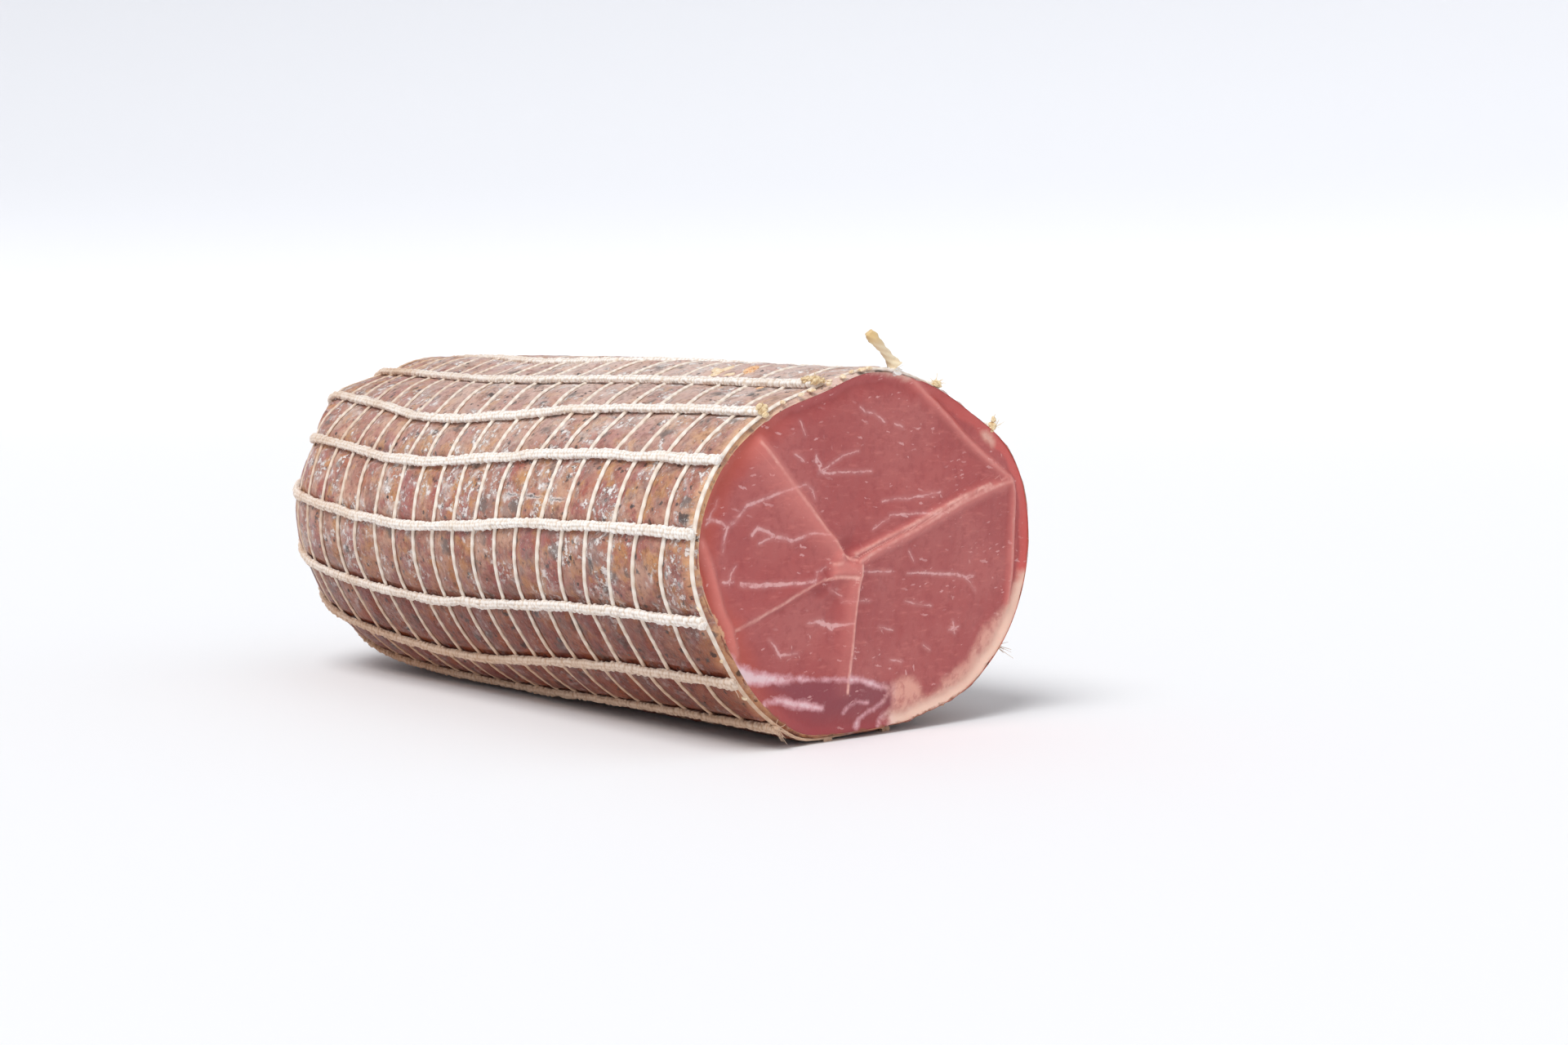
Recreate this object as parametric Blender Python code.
"""Cured pork loin, cut across at one end, in tight string netting.

Three solids: the meat, the net of cords and hoops that lies round it, and
the cut end of one cord that stands up at the rim of the cut face.
Lengths are metres and angles are degrees. The meat lies along Y: its cut
face looks towards -Y and its rounded far end towards +Y, with Z up. Angles
round the meat start at +X and turn towards +Z. The finished part is moved so
that the middle of its bottom is at the origin.
"""
import math

import bmesh
import bpy
from mathutils import Vector

# Meat: length, cross-section and the growth of the section behind the face
MEAT_LENGTH = 0.2153
SECTION_CENTRE_Z = 0.044
SECTION_STEP = 22.5
SECTION_RADII = (0.0552, 0.0542, 0.0473, 0.0446, 0.0439, 0.0426, 0.0475, 0.0535,
                 0.0553, 0.0514, 0.0495, 0.0473, 0.0435, 0.0441, 0.0490, 0.0532)
FLAT_BELOW_CENTRE = 0.0430
SWELL_LENGTH = 0.13
SWELL_HEIGHT = 0.037
SWELL_WIDTH = -0.022
BOW_SIDEWAYS = 0.0034

# Far end: each length of skin shrinks towards one pole on a power curve
POLE_X = -0.0045
POLE_Z = 0.0608
CAP_START = 0.1793
CAP_START_TOP = 0.0496
CAP_START_SIDE = 0.0189
CAP_SHORTEST = 0.012
CAP_POWER = 3.415
CAP_POWER_TOP = -3.10
CAP_POWER_SIDE = 0.37
CAP_POWER_LIMITS = (1.9, 4.8)

# Net: 16 cords along the meat, and hoops round it
CORD_ANGLES = (85.4, 111.0, 135.0, 154.1, 172.5, 193.3, 212.3, 231.5,
               254.0, 280.0, 306.0, 330.4, 352.0, 13.0, 34.2, 60.3)
CORD_WANDER = (13.0, 12.0, 12.5, 7.5, 6.0, 6.5, 9.0, 7.0,
               5.0, 4.0, 4.0, 6.0, 8.0, 9.0, 11.0, 12.0)
WANDER_CENTRE = 0.125
WANDER_SPREAD = 0.055
HOOP_LEAN = (0.0070, 0.0075, 0.0010, 0.0000, 0.0005, 0.0045, 0.0045, 0.0035,
             0.0020, 0.0005, 0.0015, 0.0030, 0.0015, 0.0005, 0.0025, 0.0050)
LEAN_FADE_ROWS = 2.0
HOOP_FIRST = 0.0008
HOOP_PITCH = 0.0101
BODY_HOOPS = 21
CAP_SHRINKS = (0.78, 0.52, 0.26)
CORD_WIDTH = 0.0029
CORD_THICKNESS = 0.0021
HOOP_WIDTH = 0.0012
HOOP_THICKNESS = 0.0010
NET_GAP = 0.0006
FLOOR_DROP = 0.0018
FLOOR_SNAP = 0.0004

# Cut face: rounded rim, then the raised seams that meet at a boss
RIM_RINGS = ((0.0, 0.0022), (0.0008, 0.0008), (0.0026, 0.0))
BOSS_CENTRE = (-0.0077, 0.0405)
BOSS_RADIUS = 0.0042
BOSS_HEIGHT = 0.0016
SEAM_WIDTH = 0.0042
SEAM_HEIGHT = 0.0011
SEAM_SINK = 0.0004
SEAM_ROOT = 0.0020
SEAM_ENDS = ((-0.0366, 0.0725), (0.0482, 0.0599), (-0.0087, 0.0109))

# Far end of the net, drawn together into a knot, as radius and distance out
KNOT_RINGS = ((0.0085, 0.0024), (0.0044, 0.0042), (0.0038, 0.0064), (0.0052, 0.0088))
KNOT_TIP = 0.0080

# Cut end of the top cord: it stands up from the first hoop, as radius and way along it
CORD_END_CORD = 0
CORD_END_ROW = 0.06
CORD_END_LEAN = Vector((-0.0026, 0.0012, 0.0078))
CORD_END_RINGS = ((0.0017, 0.0), (0.0013, 0.25), (0.0012, 0.7), (0.0015, 0.9), (0.0009, 1.0))
CORD_END_SIDES = 10
CORD_END_GAP = 0.0003

COLOURS = {"loin": (0.42, 0.13, 0.12, 1.0), "netting": (0.78, 0.68, 0.54, 1.0),
           "cord_end": (0.74, 0.58, 0.36, 1.0)}
ROUGHNESS = {"loin": 0.42, "netting": 0.85, "cord_end": 0.85}
SMOOTH_ANGLE = math.radians(40.0)


def clear_scene():
    """Remove what the file holds at the start."""
    for obj in list(bpy.data.objects):
        bpy.data.objects.remove(obj, do_unlink=True)


def around(values, position):
    """Read a closed list of values smoothly between its entries."""
    count = len(values)
    index = math.floor(position)
    part = position - index
    before, start, end, after = (values[(index + step) % count] for step in (-1, 0, 1, 2))
    bend = 2.0 * before - 5.0 * start + 4.0 * end - after
    twist = 3.0 * (start - end) + after - before
    return start + 0.5 * part * (end - before + part * (bend + part * twist))


def smooth_step(value):
    """Rise smoothly from 0 to 1."""
    value = min(max(value, 0.0), 1.0)
    return value * value * (3.0 - 2.0 * value)


def section_point(angle):
    """Give the x and z of the section at the cut face, flat underneath."""
    radius = around(SECTION_RADII, angle / SECTION_STEP)
    x = radius * math.cos(math.radians(angle))
    z = max(radius * math.sin(math.radians(angle)), -FLAT_BELOW_CENTRE)
    return x, SECTION_CENTRE_Z + z


def cap_shape(angle):
    """Give where the far end starts to round over, and how squarely."""
    up = math.sin(math.radians(angle))
    side = math.cos(math.radians(angle))
    start = CAP_START + CAP_START_TOP * up + CAP_START_SIDE * side
    start = min(start, MEAT_LENGTH - CAP_SHORTEST)
    low, high = CAP_POWER_LIMITS
    power = CAP_POWER + CAP_POWER_TOP * up + CAP_POWER_SIDE * side
    return start, min(max(power, low), high)


def shrink_at(angle, y):
    """Give the section's size at y, as a share of its full size."""
    start, power = cap_shape(angle)
    way = min(max((y - start) / (MEAT_LENGTH - start), 0.0), 1.0)
    return (1.0 - way ** power) ** (1.0 / power)


def place_on_skin(angle, y, shrink):
    """Give the point of the meat's skin at an angle, a length and a size."""
    x, z = section_point(angle)
    swell = smooth_step(y / SWELL_LENGTH)
    x = x * (1.0 + SWELL_WIDTH * swell) + BOW_SIDEWAYS * (y / MEAT_LENGTH) ** 2
    z = z * (1.0 + SWELL_HEIGHT * swell)
    return Vector((POLE_X + (x - POLE_X) * shrink, y, POLE_Z + (z - POLE_Z) * shrink))


def skin(angle, row):
    """Give the point of the skin on a row of the net, whole rows being hoops."""
    cord = angle_to_cord(angle)
    last = BODY_HOOPS - 1
    body_row = min(row, last)
    fade = smooth_step(body_row / LEAN_FADE_ROWS) * smooth_step((last - body_row) / LEAN_FADE_ROWS)
    y = HOOP_FIRST + HOOP_PITCH * body_row + around(HOOP_LEAN, cord) * fade
    bump = math.exp(-((y - WANDER_CENTRE) / WANDER_SPREAD) ** 2)
    angle = angle + around(CORD_WANDER, cord) * bump
    shrink = shrink_at(angle, y)
    if row > last:
        stops = (1.0,) + CAP_SHRINKS
        step = min(int(row - last), len(stops) - 2)
        part = row - last - step
        shrink *= stops[step] + (stops[step + 1] - stops[step]) * part
        start, power = cap_shape(angle)
        y = start + (MEAT_LENGTH - start) * (1.0 - shrink ** power) ** (1.0 / power)
    return place_on_skin(angle, y, shrink)


def angle_to_cord(angle):
    """Give an angle at the face as a number of cords, with a fraction."""
    turns = [CORD_ANGLES[0] + (value - CORD_ANGLES[0]) % 360.0 for value in CORD_ANGLES]
    turns.append(turns[0] + 360.0)
    angle = turns[0] + (angle - turns[0]) % 360.0
    for index in range(len(CORD_ANGLES)):
        if angle <= turns[index + 1]:
            return index + (angle - turns[index]) / (turns[index + 1] - turns[index])
    return float(len(CORD_ANGLES))


def cord_to_angle(cord):
    """Give the angle at the face of a cord number, with a fraction."""
    count = len(CORD_ANGLES)
    index = math.floor(cord) % count
    width = (CORD_ANGLES[(index + 1) % count] - CORD_ANGLES[index]) % 360.0
    return CORD_ANGLES[index] + width * (cord - math.floor(cord))


def skin_normal(angle, row):
    """Give the direction out of the skin."""
    small = 0.05
    along = skin(angle, row + small) - skin(angle, row - small)
    across = skin(angle + 10.0 * small, row) - skin(angle - 10.0 * small, row)
    return across.cross(along).normalized() * -1.0


def half_width_angle(angle, row, width):
    """Give half a width on the skin as an angle."""
    reach = (skin(angle + 1.0, row) - skin(angle - 1.0, row)).length / 2.0
    return 0.5 * width / reach


def add_object(name, bm):
    """Turn a bmesh into a named object with its own material."""
    bmesh.ops.recalc_face_normals(bm, faces=bm.faces)
    mesh = bpy.data.meshes.new(name)
    bm.to_mesh(mesh)
    bm.free()
    obj = bpy.data.objects.new(name, mesh)
    bpy.context.scene.collection.objects.link(obj)
    return obj


def dress(obj, name):
    """Give an object its material and smooth shading."""
    material = bpy.data.materials.new(name)
    material.use_nodes = True
    shader = material.node_tree.nodes["Principled BSDF"]
    shader.inputs["Base Color"].default_value = COLOURS[name]
    shader.inputs["Roughness"].default_value = ROUGHNESS[name]
    shader.inputs["Metallic"].default_value = 0.0
    obj.data.materials.clear()
    obj.data.materials.append(material)
    for face in obj.data.polygons:
        face.use_smooth = True
    obj.data.set_sharp_from_angle(angle=SMOOTH_ANGLE)


def ring_faces(bm, first, second):
    """Join two rings of the same number of vertices with quads."""
    count = len(first)
    for index in range(count):
        after = (index + 1) % count
        bm.faces.new((first[index], first[after], second[after], second[index]))


def meat_columns():
    """Give the angles of the meat's columns: each cord and each half way."""
    return [cord_to_angle(half / 2.0) for half in range(2 * len(CORD_ANGLES))]


def make_meat():
    """Loft the meat from its cut face to its far end."""
    bm = bmesh.new()
    angles = meat_columns()
    rings = []
    for y, inset in RIM_RINGS:
        ring = []
        for angle in angles:
            point = place_on_skin(angle, y, 1.0)
            middle = Vector((0.0, y, SECTION_CENTRE_Z))
            point -= (point - middle).normalized() * inset
            ring.append(bm.verts.new(point))
        rings.append(ring)
    for row in range(1, BODY_HOOPS + len(CAP_SHRINKS)):
        rings.append([bm.verts.new(skin(angle, float(row))) for angle in angles])
    for first, second in zip(rings, rings[1:]):
        ring_faces(bm, first, second)
    bm.faces.new(rings[0])
    pole = bm.verts.new((POLE_X, MEAT_LENGTH, POLE_Z))
    for index, vertex in enumerate(rings[-1]):
        bm.faces.new((vertex, rings[-1][(index + 1) % len(angles)], pole))
    return add_object("loin", bm)


def make_seam(end):
    """Make one raised seam of the cut face, low and roof-shaped, from the boss."""
    bm = bmesh.new()
    start = Vector((BOSS_CENTRE[0], 0.0, BOSS_CENTRE[1]))
    stop = Vector((end[0], 0.0, end[1]))
    along = (stop - start).normalized()
    across = along.cross(Vector((0.0, 1.0, 0.0)))
    sections = []
    for place, size in ((start, 1.0), (start.lerp(stop, 0.6), 0.9), (stop, 0.5)):
        side = across * (0.5 * SEAM_WIDTH * size)
        foot = Vector((0.0, SEAM_SINK, 0.0))
        root = Vector((0.0, SEAM_ROOT, 0.0))
        crest = Vector((0.0, -SEAM_HEIGHT * size, 0.0))
        corners = (place + side + root, place + side + foot, place + crest,
                   place - side + foot, place - side + root)
        sections.append([bm.verts.new(corner) for corner in corners])
    for first, second in zip(sections, sections[1:]):
        ring_faces(bm, first, second)
    bm.faces.new(sections[0])
    bm.faces.new(sections[-1])
    return add_object("seam", bm)


def make_boss():
    """Make the low round boss where the seams of the cut face meet."""
    bm = bmesh.new()
    rings = []
    for radius, out in ((1.0, -SEAM_ROOT), (1.0, -SEAM_SINK), (0.7, BOSS_HEIGHT)):
        ring = []
        for index in range(12):
            turn = math.tau * index / 12
            x = BOSS_CENTRE[0] + BOSS_RADIUS * radius * math.cos(turn)
            z = BOSS_CENTRE[1] + BOSS_RADIUS * radius * math.sin(turn)
            ring.append(bm.verts.new((x, -out, z)))
        rings.append(ring)
    for first, second in zip(rings, rings[1:]):
        ring_faces(bm, first, second)
    bm.faces.new(rings[0])
    bm.faces.new(rings[-1])
    return add_object("boss", bm)


def fuse(body, extras):
    """Join raised pieces to a body with one union, and remove the pieces."""
    group = bpy.data.collections.new("raised")
    bpy.context.scene.collection.children.link(group)
    for piece in extras:
        bpy.context.scene.collection.objects.unlink(piece)
        group.objects.link(piece)
    union = body.modifiers.new("union", "BOOLEAN")
    union.operation = "UNION"
    union.operand_type = "COLLECTION"
    union.collection = group
    union.solver = "MANIFOLD"
    view = bpy.context.evaluated_depsgraph_get()
    fused = bpy.data.meshes.new_from_object(body.evaluated_get(view))
    body.modifiers.clear()
    body.data = fused
    for piece in extras:
        bpy.data.objects.remove(piece, do_unlink=True)
    bpy.data.collections.remove(group)


def net_point(angle, row, out, floor):
    """Give a point of the net, no lower than the floor that it is pressed on."""
    point = skin(angle, row) + skin_normal(angle, row) * out
    if point.z < floor + FLOOR_SNAP and out > NET_GAP:
        point.z = floor
    return point


def net_rings(bm, rows, floor):
    """Make the net's inner and outer vertices, three columns to a cord."""
    inner, outer = [], []
    for row in rows:
        inside, outside = [], []
        for cord in range(len(CORD_ANGLES)):
            centre = cord_to_angle(cord)
            half = half_width_angle(centre, row, CORD_WIDTH)
            middle = cord_to_angle(cord + 0.5)
            for angle, thickness in ((centre - half, CORD_THICKNESS), (centre + half, CORD_THICKNESS),
                                     (middle, HOOP_THICKNESS)):
                inside.append(bm.verts.new(net_point(angle, row, NET_GAP, floor)))
                outside.append(bm.verts.new(net_point(angle, row, NET_GAP + thickness, floor)))
        inner.append(inside)
        outer.append(outside)
    return inner, outer


def is_cord(column):
    """Say whether a column of the net's grid is a cord, not a window."""
    return column % 3 == 0


def is_hoop(band):
    """Say whether a band of the net's grid is a hoop, not a row of windows."""
    return band % 2 == 0


def make_net(floor):
    """Build the net as one perforated shell with a knot at its far end."""
    bm = bmesh.new()
    hoops = BODY_HOOPS + len(CAP_SHRINKS)
    edge = 0.5 * HOOP_WIDTH / HOOP_PITCH
    rows = [hoop + side * edge for hoop in range(hoops) for side in (-1.0, 1.0)]
    rows[0] = -0.5 * edge
    inner, outer = net_rings(bm, rows, floor)
    columns = 3 * len(CORD_ANGLES)
    solid = [[is_hoop(band) or is_cord(column) for column in range(columns)]
             for band in range(len(rows) - 1)]
    for band, cells in enumerate(solid):
        for column, filled in enumerate(cells):
            if not filled:
                continue
            after = (column + 1) % columns
            corners = ((band, column), (band, after), (band + 1, after), (band + 1, column))
            bm.faces.new([outer[r][c] for r, c in corners])
            bm.faces.new([inner[r][c] for r, c in reversed(corners)])
            beside = ((band - 1, column, 0, 1), (band, after, 1, 2), (band, column - 1, 3, 0))
            for near_band, near_column, start, end in beside:
                if near_band >= 0 and solid[near_band][near_column]:
                    continue
                add_wall(bm, inner, outer, corners[start], corners[end])
            if band + 1 < len(solid) and not solid[band + 1][column]:
                add_wall(bm, inner, outer, corners[2], corners[3])
    close_far_end(bm, inner[-1], outer[-1])
    return add_object("netting", bm)


def add_wall(bm, inner, outer, start, end):
    """Close the edge between a filled cell and an empty one."""
    low_start, low_end = inner[start[0]][start[1]], inner[end[0]][end[1]]
    high_start, high_end = outer[start[0]][start[1]], outer[end[0]][end[1]]
    bm.faces.new((high_end, high_start, low_start, low_end))


def close_far_end(bm, inside, outside):
    """Draw the net's last hoop together into a knot with a short tuft."""
    pole = bm.verts.new((POLE_X, MEAT_LENGTH + NET_GAP, POLE_Z))
    for index, vertex in enumerate(inside):
        bm.faces.new((vertex, inside[(index + 1) % len(inside)], pole))
    rings = []
    for radius, out in KNOT_RINGS:
        ring = []
        for cord in range(len(CORD_ANGLES)):
            spoke = outside[3 * cord].co - pole.co
            spoke.y = 0.0
            spoke = spoke.normalized() * radius
            ring.append(bm.verts.new(pole.co + spoke + Vector((0.0, out, 0.0))))
        rings.append(ring)
    count = len(rings[0])
    for cord in range(count):
        left, right, middle, next_left = (outside[(3 * cord + step) % len(outside)] for step in range(4))
        after = rings[0][(cord + 1) % count]
        bm.faces.new((left, right, rings[0][cord]))
        bm.faces.new((right, middle, rings[0][cord]))
        bm.faces.new((middle, after, rings[0][cord]))
        bm.faces.new((middle, next_left, after))
    for first, second in zip(rings, rings[1:]):
        ring_faces(bm, first, second)
    tip = bm.verts.new(pole.co + Vector((0.0, KNOT_TIP, 0.0)))
    for index, vertex in enumerate(rings[-1]):
        bm.faces.new((vertex, rings[-1][(index + 1) % count], tip))


def make_cord_end():
    """Make the cut end of a cord, which stands on the first hoop and leans back."""
    bm = bmesh.new()
    angle = cord_to_angle(CORD_END_CORD)
    out = skin_normal(angle, CORD_END_ROW)
    base = skin(angle, CORD_END_ROW) + out * (NET_GAP + CORD_THICKNESS + CORD_END_GAP)
    side = out.cross(Vector((0.0, 1.0, 0.0))).normalized()
    front = side.cross(out)
    rings = []
    for radius, way in CORD_END_RINGS:
        ring = []
        for index in range(CORD_END_SIDES):
            turn = math.tau * index / CORD_END_SIDES
            spoke = side * math.cos(turn) + front * math.sin(turn)
            ring.append(bm.verts.new(base + CORD_END_LEAN * way + spoke * radius))
        rings.append(ring)
    for first, second in zip(rings, rings[1:]):
        ring_faces(bm, first, second)
    bm.faces.new(rings[0])
    bm.faces.new(rings[-1])
    return add_object("cord_end", bm)


def stand_at_origin(objects):
    """Move the meshes so that the middle of the part's bottom is at the origin."""
    points = [vertex.co for obj in objects for vertex in obj.data.vertices]
    low = Vector([min(point[axis] for point in points) for axis in range(3)])
    high = Vector([max(point[axis] for point in points) for axis in range(3)])
    shift = Vector((-0.5 * (low.x + high.x), -0.5 * (low.y + high.y), -low.z))
    for obj in objects:
        for vertex in obj.data.vertices:
            vertex.co += shift
    print("moved by", tuple(round(value, 5) for value in shift))


def main():
    """Build the meat and its net."""
    clear_scene()
    loin = make_meat()
    fuse(loin, [make_seam(end) for end in SEAM_ENDS] + [make_boss()])
    floor = SECTION_CENTRE_Z - FLAT_BELOW_CENTRE - FLOOR_DROP
    netting = make_net(floor)
    cord_end = make_cord_end()
    for obj in (loin, netting, cord_end):
        dress(obj, obj.name)
    stand_at_origin([loin, netting, cord_end])


main()
